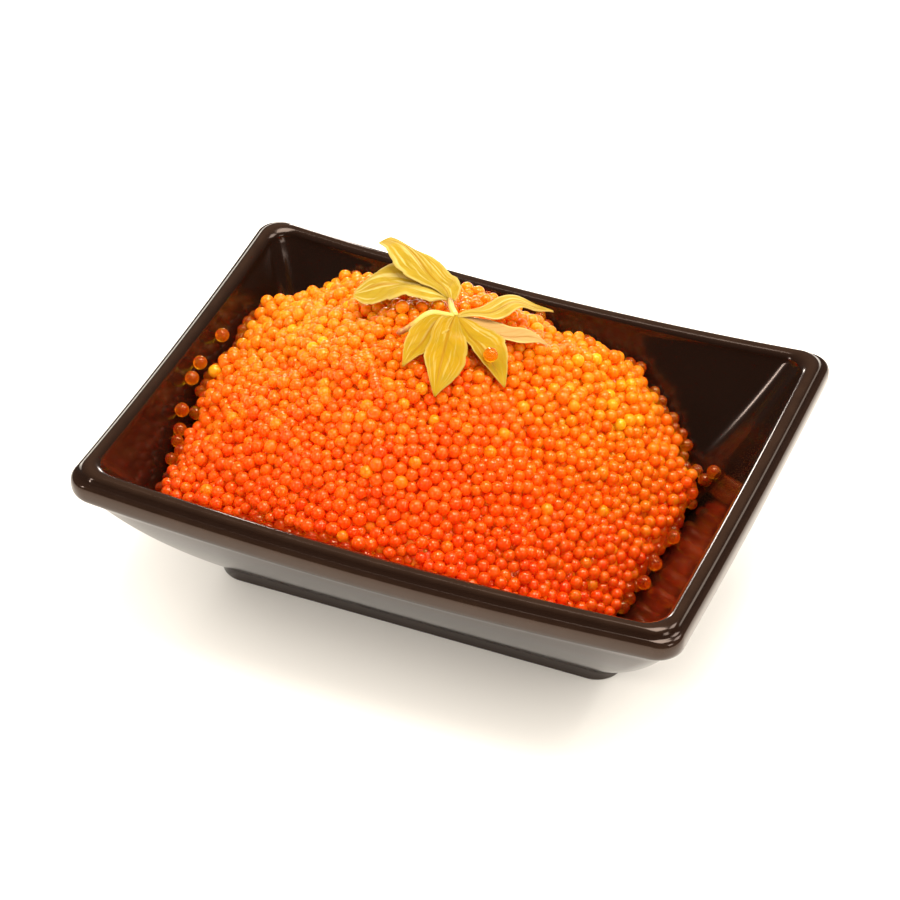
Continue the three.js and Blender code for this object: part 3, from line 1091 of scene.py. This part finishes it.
@dataclass
class RoeHeap:
    """The heap of roe: a bumpy core, a sunken layer of eggs and the eggs that show."""

    dish: Dish
    form: HeapForm = field(default_factory=HeapForm)
    egg: float = 1.95
    smallest: float = 0.80
    largest: float = 1.00
    usual: float = 0.90
    fill: float = 0.74
    spacing: float = 0.96
    pushes: int = 80
    push_strength: float = 0.35
    pushes_per_search: int = 4
    search_margin: float = 0.6
    rise: float = 0.03
    top_depth: tuple[float, float] = (0.3, 1.2)
    shell: float = 4.2
    showing_depth: float = 1.7
    core_depth: float = 2.0
    core_bumps: float = 0.1
    core_start: float = 8.0
    core_step: float = 0.1
    core_bearings: int = 180
    core_rings: int = 59
    core_floor_gap: float = 0.1
    core_foot_gap: float = 0.05
    showing_splits: int = 2
    sunken_splits: int = 1
    body_clarity: float = 0.4
    clear_clarity: float = 0.85
    clear_redder: float = 0.8
    wall_gap: float = 0.06
    tries: int = 160000
    clear_gap: float = 1.9
    seed: int = 11
    strays: tuple[Place, ...] = (
        (-37.1, 6.1, 22.5), (-37.2, -0.6, 22.6), (-37.0, -3.6, 22.2), (-36.2, -8.5, 20.6),
        (-34.2, -8.9, 17.1), (30.4, 17.2, 11.3), (29.4, 16.6, 10.0), (29.2, 4.7, 9.3),
        (28.5, -0.3, 8.4), (28.3, -4.0, 8.1), (3.4, 3.3, 33.3),
    )
    tone_middle: float = 0.43
    # The slopes paint light and shade over the heap: eggs grow more golden towards the back, the left and the
    # top, where light falls, and redder low at the front, in shade.
    painted_light_slopes: Place = (-0.003, 0.0115, 0.006)
    painted_light_height: float = 25.0
    tone_spread: float = 0.07
    golden_share: float = 0.05
    golden_rise: float = 0.3
    # The patches are partly painted light and shade, golden where light falls on the upper left and the right
    # shoulder and redder in the shaded middle, and partly the roe's own golden patches.
    light_and_tone_patches: tuple[tuple[float, float, float, float], ...] = (
        (-21.0, 4.0, 10.0, 0.06), (16.0, 9.0, 11.0, 0.09), (-1.0, -5.0, 11.0, -0.06),
    )

    def __post_init__(self) -> None:
        """Starts the one stream of random numbers that every egg is drawn from."""
        self.random = np.random.default_rng(self.seed)

    def scattered(self) -> Eggs:
        """Scatters eggs through the heap's outer shell, still overlapping.

        Returns:
            As many eggs as fill the shell when they are pushed apart.
        """
        random = self.random
        low = (-self.dish.half_length, -self.dish.half_width, self.dish.floor_height)
        high = (self.dish.half_length, self.dish.half_width, self.form.top + 2)
        points = random.uniform(low, high, (self.tries, 3))
        depth = self.depth_of(points)
        room = self.dish.gap(*points.T)
        radius = self.egg / 2
        inside = (depth > self.top_depth[0]) & (depth < self.shell) & (room > radius)
        inside &= points[:, 2] > self.dish.floor_height + radius
        volume = np.prod(np.subtract(high, low)) * inside.mean()
        count = int(self.fill * volume / (4 / 3 * math.pi * (radius * self.usual) ** 3))
        sizes = random.uniform(self.smallest, self.largest, count)
        return Eggs(points[inside][:count], radius * sizes, random.uniform(*self.top_depth, count))

    def depth_of(self, points: np.ndarray) -> np.ndarray:
        """Measures how far points lie below the heap's surface, straight through it."""
        x, y, z = points.T
        return (self.form.height(x, y) - z) * self.form.outward(x, y)[:, 2]

    def kept_inside(self, eggs: Eggs, points: np.ndarray) -> np.ndarray:
        """Brings centres back under the surface, off the walls and above the floor.

        Args:
            eggs: the eggs.
            points: their centres, which may have left the shell.

        Returns:
            The centres inside the shell.
        """
        outward = self.form.outward(*points.T[:2])
        depth = self.depth_of(points)
        points = points - outward * np.maximum(eggs.depths - depth, 0)[:, None]
        points = points + outward * np.maximum(depth - self.shell, 0)[:, None]
        needed = eggs.radii + self.wall_gap
        step = 0.1
        for _ in range(2):
            room = self.dish.gap(*points.T)
            slopes = [
                self.dish.gap(*(points + step * axis).T) - self.dish.gap(*(points - step * axis).T)
                for axis in np.eye(3)
            ]
            inward = np.stack(slopes, axis=1)
            inward /= np.maximum(np.linalg.norm(inward, axis=1, keepdims=True), 1e-9)
            points = points + inward * np.maximum(needed - room, 0)[:, None]
            points[:, 2] = np.maximum(points[:, 2], self.dish.floor_height + needed)
        return points

    def settled(self, eggs: Eggs) -> Eggs:
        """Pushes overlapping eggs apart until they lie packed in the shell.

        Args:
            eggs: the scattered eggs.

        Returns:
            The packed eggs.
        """
        points = eggs.centres.copy()
        reach = self.egg * self.largest + self.search_margin
        for turn in range(self.pushes):
            if turn % self.pushes_per_search == 0:
                first, second = self.neighbours(points, reach)
            away = points[first] - points[second]
            distance = np.linalg.norm(away, axis=1)
            overlap = self.spacing * (eggs.radii[first] + eggs.radii[second]) - distance
            push = np.maximum(overlap, 0) * self.push_strength / np.maximum(distance, 1e-6)
            move = away * push[:, None]
            shift = np.zeros_like(points)
            np.add.at(shift, first, move)
            np.add.at(shift, second, -move)
            points = self.kept_inside(eggs, points + shift + self.rise * self.form.outward(*points.T[:2]))
        return Eggs(points, eggs.radii, eggs.depths)

    def neighbours(self, points: np.ndarray, reach: float) -> tuple[np.ndarray, np.ndarray]:
        """Lists every pair of points closer together than a reach.

        Args:
            points: the points.
            reach: the distance.

        Returns:
            The first and the second point of each pair.
        """
        order = np.argsort(points[:, 0])
        placed = points[order]
        ends = np.searchsorted(placed[:, 0], placed[:, 0] + reach)
        starts = np.arange(len(points))
        counts = ends - starts - 1
        first = np.repeat(starts, counts)
        second = np.arange(counts.sum()) - np.repeat(np.cumsum(counts) - counts, counts) + first + 1
        near = ((placed[first] - placed[second]) ** 2).sum(axis=1) < reach**2
        return order[first[near]], order[second[near]]

    def tone(self, eggs: Eggs) -> np.ndarray:
        """Gives each egg a tone, from 0 for deep red to 1 for yellow, with painted light and shade in it.

        Args:
            eggs: the eggs.

        Returns:
            The tones: painted shade makes them redder low at the front and painted light more golden up at
                the back left, over each egg's own random spread.
        """
        x, y, z = eggs.centres.T
        # Painted light and shade: the slopes and the patches turn lit eggs at the back left golden and shaded
        # eggs low at the front red.
        slope_x, slope_y, slope_z = self.painted_light_slopes
        tone = self.tone_middle + slope_y * y + slope_x * x + slope_z * (z - self.painted_light_height)
        for patch_x, patch_y, size, change in self.light_and_tone_patches:
            away = np.hypot(x - patch_x, y - patch_y) / size
            tone = tone + change * np.exp(-(away**2))
        # The random spread and the golden eggs are the roe's own tones.
        tone = tone + self.random.normal(0, self.tone_spread, len(eggs))
        golden = self.random.random(len(eggs)) < self.golden_share
        tone[golden] += self.golden_rise
        return np.clip(tone, 0.02, 1.0)

    def eggs_piece(
        self, kind: EggKind, eggs: Eggs, tone: np.ndarray, splits: int, skin: bpy.types.Material
    ) -> bpy.types.Object:
        """Joins eggs of one kind into a piece.

        Args:
            kind: the kind of egg.
            eggs: the eggs.
            tone: each egg's tone, with painted light and shade in it.
            splits: how finely each egg is rounded.
            skin: the eggs' finish.

        Returns:
            The piece.
        """
        ball, triangles = Ball(splits).shape()
        turns = self.random.uniform(0, 2 * math.pi, len(eggs))
        cos, sin = np.cos(turns)[:, None], np.sin(turns)[:, None]
        turned = np.stack([
            ball[:, 0] * cos - ball[:, 1] * sin,
            ball[:, 0] * sin + ball[:, 1] * cos,
            np.broadcast_to(ball[:, 2], (len(eggs), len(ball))),
        ], axis=-1)
        points = eggs.centres[:, None] + turned * eggs.radii[:, None, None]
        starts = np.arange(len(eggs))[:, None, None] * len(ball)
        faces = (triangles[None] + starts).reshape(-1, 3)
        tones = np.repeat(tone, len(ball))
        piece = mesh_object(kind.value, points.reshape(-1, 3), faces, skin, {"tone": tones})
        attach(piece, BODY)
        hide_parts("roe_heap")
        report(piece)
        return piece

    def edge_radius(self, bearings: np.ndarray, depth: float) -> np.ndarray:
        """Finds how far the core reaches from the heap's centre before it meets the walls.

        Args:
            bearings: the directions, in radians.
            depth: how far the core's top lies below the heap's surface.

        Returns:
            The reach in each direction.
        """
        reach = np.full(len(bearings), self.core_start)
        going = np.ones(len(bearings), dtype=bool)
        while going.any():
            trial = reach + self.core_step
            x = self.form.centre_x + trial * np.cos(bearings)
            y = self.form.centre_y + trial * np.sin(bearings)
            z = self.form.height(x, y) - depth
            inside = self.dish.gap(x, y, np.maximum(z, self.dish.floor_height)) > self.egg / 2
            going &= inside & (z > self.dish.floor_height + self.wall_gap)
            reach = np.where(going, trial, reach)
        return reach

    def core(self) -> bpy.types.Object:
        """Makes the bumpy core under the eggs.

        Returns:
            The core.
        """
        bearings = np.linspace(0, 2 * math.pi, self.core_bearings, endpoint=False)
        reach = self.edge_radius(bearings, self.core_depth)
        rings = []
        for share in np.linspace(0, 1, self.core_rings + 1)[1:]:
            x = self.form.centre_x + share * reach * np.cos(bearings)
            y = self.form.centre_y + share * reach * np.sin(bearings)
            pitch = 2 * math.pi / self.egg
            bumps = self.core_bumps * np.sin(pitch * x) * np.sin(pitch * y)
            z = self.form.height(x, y) - self.core_depth + bumps
            rings.append(np.column_stack([x, y, np.maximum(z, self.dish.floor_height + self.core_floor_gap)]))
        rings.append(self.foot_ring(rings[-1]))
        points = np.vstack(rings[::-1])
        count = len(bearings)
        faces = ring_faces(len(rings), count)
        faces.append(tuple(range(count))[::-1])
        last = (len(rings) - 1) * count
        faces.append(tuple(range(last, last + count)))
        piece = mesh_object("roe_core", points, faces, RoeCore().material())
        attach(piece, BODY)
        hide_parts("roe_heap")
        report(piece)
        return piece

    def foot_ring(self, edge: np.ndarray) -> np.ndarray:
        """Gives the ring where the core stands on the floor.

        Args:
            edge: the core's outermost ring.

        Returns:
            The ring below and inside the edge.
        """
        length = self.dish.floor_half_length - self.dish.floor_fillet
        width = self.dish.floor_half_width - self.dish.floor_fillet
        x = np.clip(edge[:, 0], -length, length)
        y = np.clip(edge[:, 1], -width, width)
        return np.column_stack([x, y, np.full(len(edge), self.dish.floor_height + self.core_foot_gap)])

    def build(self) -> list[bpy.types.Object]:
        """Makes every piece of the heap.

        Returns:
            The pieces.
        """
        eggs = self.settled(self.scattered())
        strays = np.array(self.strays)
        away = np.linalg.norm(eggs.centres[:, None] - strays[None], axis=2).min(axis=1)
        eggs = eggs.picked(away > self.spacing * self.egg)
        showing = self.depth_of(eggs.centres) < self.showing_depth
        clear = showing & (self.dish.gap(*eggs.centres.T) < self.clear_gap)
        lone = Eggs(strays, np.full(len(strays), self.egg / 2), np.zeros(len(strays)))
        margin = eggs.picked(clear)
        margin = Eggs(*(np.concatenate(pair) for pair in zip(
            (lone.centres, lone.radii, lone.depths), (margin.centres, margin.radii, margin.depths))))
        top = eggs.picked(showing & ~clear)
        sunken = eggs.picked(~showing)
        body = EggSkin("glowing_egg_skin", self.body_clarity).material()
        glass = EggSkin("clear_egg_skin", self.clear_clarity).material()
        pieces = [self.core()]
        tone = self.tone(top)
        order = np.argsort(tone)
        # The eggs are split by tone, which holds painted light and shade, so the red piece gathers mostly
        # shaded eggs low at the front and the golden piece lit eggs at the back left.
        for kind, chosen in zip((EggKind.RED, EggKind.ORANGE, EggKind.GOLDEN), np.array_split(order, 3)):
            rows = top.picked(chosen)
            pieces.append(self.eggs_piece(kind, rows, tone[chosen], self.showing_splits, body))
        tones = self.tone(margin) * self.clear_redder
        pieces.append(self.eggs_piece(EggKind.CLEAR, margin, tones, self.showing_splits, glass))
        front = sunken.centres[:, 1] < 0
        for kind, chosen in ((EggKind.SUNKEN_FRONT, front), (EggKind.SUNKEN_BACK, ~front)):
            rows = sunken.picked(chosen)
            pieces.append(self.eggs_piece(kind, rows, self.tone(rows), self.sunken_splits, body))
        return pieces


@dataclass(frozen=True)
class Lobe:
    """One lobe of a leaf, from its joint out to its tip.

    left and right are the distances from its midrib to its edges at even steps from joint to tip.
    """

    x: float
    y: float
    heading: float
    length: float
    left: tuple[float, ...]
    right: tuple[float, ...]
    bend: float = 0.0
    lift: float = 0.0
    tilt: float = 0.0
    teeth: float = 0.0
    layer: float = 0.0
    pallor: float = 0.0


@dataclass
class LeafSprig:
    """The sprig: lobes that lie over the roe and a thin stalk."""

    form: HeapForm = field(default_factory=HeapForm)
    clearance: float = 1.0
    thickness: float = 0.22
    cup: float = 0.1
    wave: float = 0.15
    ripples: float = 5.0
    midrib_depth: float = 0.15
    midrib_width: float = 0.12
    tooth_count: float = 5.0
    edge_taper: float = 6.0
    edge_least: float = 0.35
    along_steps: int = 40
    across_steps: int = 20
    stalk_radius: float = 0.5
    stalk_taper: float = 0.8
    stalk_rise: float = 0.2
    stalk_sides: int = 14
    stalk_steps: int = 22
    lower_joint: tuple[float, float] = (-3.6, 8.1)
    upper_joint: tuple[float, float] = (-6.9, 14.1)
    stalk_end: tuple[float, float] = (-9.6, 2.4)

    def lobes(self) -> list[Lobe]:
        """Gives the lobes of the lower and the upper leaf.

        Returns:
            Five lobes of the lower leaf and two of the upper leaf.
        """
        low, high = self.lower_joint, self.upper_joint
        return [
            Lobe(*low, 256, 11.4, (0.4, 1.6, 2.2, 2.3, 2.2, 1.1, 0.1), (0.4, 1.5, 2.6, 2.9, 2.2, 1.4, 0.1),
                 bend=6, teeth=0.10, pallor=0.15),
            Lobe(*low, 282, 14.4, (0.4, 1.3, 2.3, 3.1, 3.3, 2.0, 0.1), (0.4, 1.4, 2.2, 2.5, 2.5, 1.5, 0.1),
                 teeth=0.06, layer=0.35),
            Lobe(*low, 327, 11.4, (0.4, 2.3, 3.5, 3.9, 3.2, 2.0, 0.1), (0.3, 0.9, 1.6, 2.3, 2.5, 0.9, 0.1),
                 teeth=0.08, layer=0.15, pallor=0.1),
            Lobe(*low, 14, 12.4, (0.2, 1.1, 1.9, 2.1, 1.7, 0.9, 0.1), (0.2, 0.9, 1.6, 1.9, 1.6, 0.8, 0.1),
                 pallor=2.1),
            Lobe(*low, 47, 14.4, (0.2, 1.0, 1.7, 1.9, 1.4, 0.6, 0.1), (0.2, 0.8, 1.4, 1.7, 1.3, 0.5, 0.1),
                 lift=2.2, layer=0.2, pallor=1.1),
            Lobe(*high, 194, 12.9, (0.5, 2.9, 4.4, 4.8, 4.0, 2.9, 1.0), (0.5, 2.2, 3.4, 3.9, 3.8, 3.2, 1.2),
                 lift=1, tilt=-0.3, teeth=0.10, pallor=0.8),
            Lobe(*high, 160, 11.6, (0.6, 3.2, 4.6, 4.9, 4.3, 3.0, 1.5), (0.8, 2.6, 3.2, 3.2, 2.9, 2.3, 1.2),
                 bend=30, lift=6.5, teeth=0.04, layer=0.2, pallor=0.7),
        ]

    def blade(self, lobe: Lobe) -> tuple[np.ndarray, np.ndarray, np.ndarray]:
        """Shapes the middle surface of one lobe.

        Args:
            lobe: the lobe.

        Returns:
            Its points on a grid, and how far along and across the lobe each one is.
        """
        t = np.linspace(0, 1, self.along_steps + 1)[:, None]
        s = np.linspace(-1, 1, self.across_steps + 1)[None, :]
        turn = np.radians(lobe.heading + lobe.bend * (t - 1))
        forward_x, forward_y = np.cos(turn), np.sin(turn)
        swell = np.sin(math.pi * t).clip(0)
        steps = np.linspace(0, 1, len(lobe.left))
        saw = 1 - lobe.teeth * (1 - (self.tooth_count * t) % 1) * np.abs(s)
        half = np.where(s > 0, np.interp(t, steps, lobe.left), np.interp(t, steps, lobe.right)) * saw
        x = lobe.x + forward_x * lobe.length * t - forward_y * half * s
        y = lobe.y + forward_y * lobe.length * t + forward_x * half * s
        cup = self.cup * half * s**2 * swell
        ripple = self.wave * (1 + np.sin(self.ripples * math.pi * t + 2 * s)) * np.abs(s) * swell
        tilt = abs(lobe.tilt) * half * (1 + np.sign(lobe.tilt) * s) * swell
        groove = -self.midrib_depth * np.exp(-((s / self.midrib_width) ** 2)) * swell
        rise = lobe.lift * t + cup + ripple + tilt + groove
        z = self.form.height(x, y) + self.clearance + lobe.layer + rise
        points = np.stack([x, y, z], axis=-1)
        return points, np.broadcast_to(t, x.shape), np.broadcast_to(s, x.shape)

    def sheet(self, name: str, lobe: Lobe, skin: bpy.types.Material) -> bpy.types.Object:
        """Makes one lobe as a thin closed sheet.

        Args:
            name: the piece's name.
            lobe: the lobe.
            skin: its finish.

        Returns:
            The piece.
        """
        middle, along, across = self.blade(lobe)
        rows, columns = middle.shape[:2]
        edge = np.minimum(1, self.edge_taper * (1 - np.abs(across)) + self.edge_least)
        half = np.zeros_like(middle)
        half[..., 2] = self.thickness / 2 * edge
        points = np.vstack([(middle - half).reshape(-1, 3), (middle + half).reshape(-1, 3)])
        count = rows * columns
        grid = np.arange(count).reshape(rows, columns)
        a, b = grid[:-1, :-1].ravel(), grid[:-1, 1:].ravel()
        c, d = grid[1:, :-1].ravel(), grid[1:, 1:].ravel()
        faces = np.vstack([
            np.column_stack([a, b, d]), np.column_stack([a, d, c]),
            np.column_stack([a, d, b]) + count, np.column_stack([a, c, d]) + count,
        ])
        border = np.concatenate([grid[:-1, 0], grid[-1, :-1], grid[:0:-1, -1], grid[0, :0:-1]])
        after = np.roll(border, -1)
        faces = np.vstack([
            faces,
            np.column_stack([border, after, after + count]),
            np.column_stack([border, after + count, border + count]),
        ])
        pallor = np.full(2 * count, lobe.pallor)
        values = {"along": np.tile(along.ravel(), 2), "across": np.tile(across.ravel(), 2), "pallor": pallor}
        return self.placed(mesh_object(name, points, faces, skin, values))

    def stalk(self, name: str, start: tuple[float, float], end: tuple[float, float]) -> bpy.types.Object:
        """Makes a round length of stalk over the roe.

        Args:
            name: the piece's name.
            start: where it starts.
            end: where it ends.

        Returns:
            The piece.
        """
        sides, steps = self.stalk_sides, self.stalk_steps
        turns = np.linspace(0, 2 * math.pi, sides, endpoint=False)
        rings = []
        heading = np.array(end) - np.array(start)
        side = np.array([-heading[1], heading[0], 0]) / np.linalg.norm(heading)
        up = np.array([0, 0, 1.0])
        shares = np.linspace(0, 1, steps + 1)
        for share in shares:
            flat = np.array(start) + heading * share
            z = self.form.height(*flat) + self.clearance + self.stalk_rise
            closing = math.sqrt(max(1 - max(abs(2 * share - 1) - 0.9, 0) ** 2 / 0.0105, 0.05))
            radius = self.stalk_radius * mix(1, self.stalk_taper, share) * closing
            circle = np.outer(np.cos(turns), side) + np.outer(np.sin(turns), up)
            rings.append(np.array([*flat, z]) + radius * circle)
        faces = ring_faces(steps + 1, sides, flipped=True)
        faces.append(tuple(range(sides)))
        faces.append(tuple(range(steps * sides, (steps + 1) * sides))[::-1])
        values = {"along": np.repeat(shares, sides)}
        skin = StalkSkin().material()
        return self.placed(mesh_object(name, np.vstack(rings), faces, skin, values))

    def placed(self, piece: bpy.types.Object) -> bpy.types.Object:
        """Puts a piece of the sprig in the part.

        Args:
            piece: the piece.

        Returns:
            The same piece.
        """
        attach(piece, BODY)
        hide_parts("leaf_sprig")
        report(piece)
        return piece

    def build(self) -> list[bpy.types.Object]:
        """Makes every lobe and both lengths of stalk.

        Returns:
            The pieces.
        """
        skin = LeafSkin().material()
        pieces = []
        for number, lobe in enumerate(self.lobes(), start=1):
            pieces.append(self.sheet(f"leaf_lobe_{number}", lobe, skin))
        pieces.append(self.stalk("stalk_cut_end", self.lower_joint, self.stalk_end))
        pieces.append(self.stalk("stalk_between_leaves", self.lower_joint, self.upper_joint))
        return pieces


@dataclass(frozen=True)
class Softbox:
    """A rectangular studio light that faces the dish, placed in millimetres."""

    name: str
    place: Place
    width: float
    height: float
    brightness: float
    colour: Colour = (1.0, 1.0, 1.0)

    def hang(self, target: Place) -> bpy.types.Object:
        """Hangs the light.

        Args:
            target: what it faces, in millimetres.

        Returns:
            The light.
        """
        light = bpy.data.lights.new(self.name, "AREA")
        light.shape = "RECTANGLE"
        light.size = self.width * MM
        light.size_y = self.height * MM
        light.energy = self.brightness * math.pi * light.size * light.size_y
        light.color = self.colour
        lamp = bpy.data.objects.new(self.name, light)
        lamp.location = Vector(self.place) * MM
        towards = Vector(target) - Vector(self.place)
        lamp.rotation_euler = towards.to_track_quat("-Z", "Y").to_euler()
        bpy.context.scene.collection.objects.link(lamp)
        return lamp


@dataclass
class Studio:
    """The white table, the lights round it and the camera."""

    table_half: float = 3.0
    sky: Colour = (1.0, 0.985, 0.95)
    bright_side: Place = (-0.45, 0.55, 0.70)
    bright_from_to: tuple[float, float] = (-0.35, 0.75)
    light_front: float = 1.6
    light_back: float = 2.1
    mirror_front: float = 0.05
    mirror_back: float = 0.12
    camera_bearing: float = 22.59
    camera_elevation: float = 39.58
    camera_distance: float = 0.49129
    camera_lens: float = 144.91
    camera_sensor: float = 36.0
    camera_target: Place = (-0.004034, 0.007393, 0.011714)
    light_target: Place = (0.0, 0.0, 22.0)
    softboxes: tuple[Softbox, ...] = (
        Softbox("near_strip", (-60.0, 112.0, 54.0), 14.0, 26.0, 24.0, (1.0, 0.97, 0.92)),
        Softbox("front_left_strip", (-235.0, -278.0, 212.0), 28.0, 84.0, 34.0, (1.0, 0.97, 0.93)),
        Softbox("right_fill", (330.0, -155.0, 235.0), 120.0, 120.0, 7.0, (1.0, 0.97, 0.93)),
        Softbox("top_softbox", (20.0, 40.0, 415.0), 210.0, 210.0, 11.5, (1.0, 0.95, 0.88)),
        Softbox("back_right_softbox", (270.0, 180.0, 380.0), 180.0, 180.0, 8.0, (1.0, 0.97, 0.93)),
    )

    def table(self) -> bpy.types.Object:
        """Lays the white table.

        Returns:
            The table.
        """
        half = self.table_half / MM
        corners = [(-half, -half, 0), (half, -half, 0), (half, half, 0), (-half, half, 0)]
        top = mesh_object("white_table", np.array(corners), [(0, 1, 2, 3)], Tabletop().material())
        top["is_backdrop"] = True
        return top

    def backdrop(self) -> None:
        """Makes the air white to the eye, an even light, and dim in front as the glaze mirrors it."""
        tree = Tree(bpy.data.worlds.new("white_room"))
        towards = tree.node("ShaderNodeTexCoord", {}, {}, "Generated")
        facing = tree.node("ShaderNodeVectorMath", {"operation": "DOT_PRODUCT"},
                           {0: towards, 1: self.bright_side}, "Value")
        behind = facing.over(*self.bright_from_to)
        light = self.light_front + (self.light_back - self.light_front) * behind
        mirrored = self.mirror_front + (self.mirror_back - self.mirror_front) * behind
        path = tree.node("ShaderNodeLightPath", {}, {}, "Is Camera Ray")
        glossy = path.part("Is Glossy Ray") * (1 - path.part("Is Transmission Ray"))
        strength = light * (1 - glossy) + mirrored * glossy
        strength = strength * (1 - path) + path
        background = tree.node("ShaderNodeBackground", {}, {"Color": self.sky, "Strength": strength})
        bpy.context.scene.world = tree.finished(background, "World")

    def camera(self) -> bpy.types.Object:
        """Sets the camera up.

        Returns:
            The camera.
        """
        lens = bpy.data.cameras.new("camera")
        lens.lens = self.camera_lens
        lens.sensor_width = self.camera_sensor
        bearing, elevation = math.radians(self.camera_bearing), math.radians(self.camera_elevation)
        flat = math.cos(elevation)
        away = Vector((math.sin(bearing) * flat, -math.cos(bearing) * flat, math.sin(elevation)))
        camera = bpy.data.objects.new("camera", lens)
        camera.location = Vector(self.camera_target) + self.camera_distance * away
        camera.rotation_euler = (-away).to_track_quat("-Z", "Y").to_euler()
        bpy.context.scene.collection.objects.link(camera)
        bpy.context.scene.camera = camera
        return camera

    def light_paths(self) -> None:
        """Lets light pass through several eggs and keeps bright specks down."""
        cycles = bpy.context.scene.cycles
        cycles.max_bounces = 14
        cycles.diffuse_bounces = 6
        cycles.glossy_bounces = 6
        cycles.transmission_bounces = 12
        cycles.sample_clamp_indirect = 4.0
        view = bpy.context.scene.view_settings
        view.view_transform = "Standard"
        view.look = "None"

    def build(self) -> None:
        """Sets up the table, the backdrop, the lights and the camera."""
        self.camera()
        self.table()
        self.backdrop()
        for softbox in self.softboxes:
            softbox.hang(self.light_target)
        self.light_paths()


def write_sizes() -> None:
    """Measures the box of the plain solids and the box of the dressed part."""
    boxes = [[[float(value) for value in corner] for corner in box] for box in (CAD_BOX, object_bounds())]


def main() -> None:
    """Builds the studio and the dressed part."""
    logging.basicConfig(level=logging.INFO, format="%(name)s: %(message)s")
    Studio().build()
    dish = Dish()
    dish.build()
    heap = RoeHeap(dish)
    heap.build()
    LeafSprig(heap.form).build()
    write_sizes()


if __name__ == "__main__":
    main()
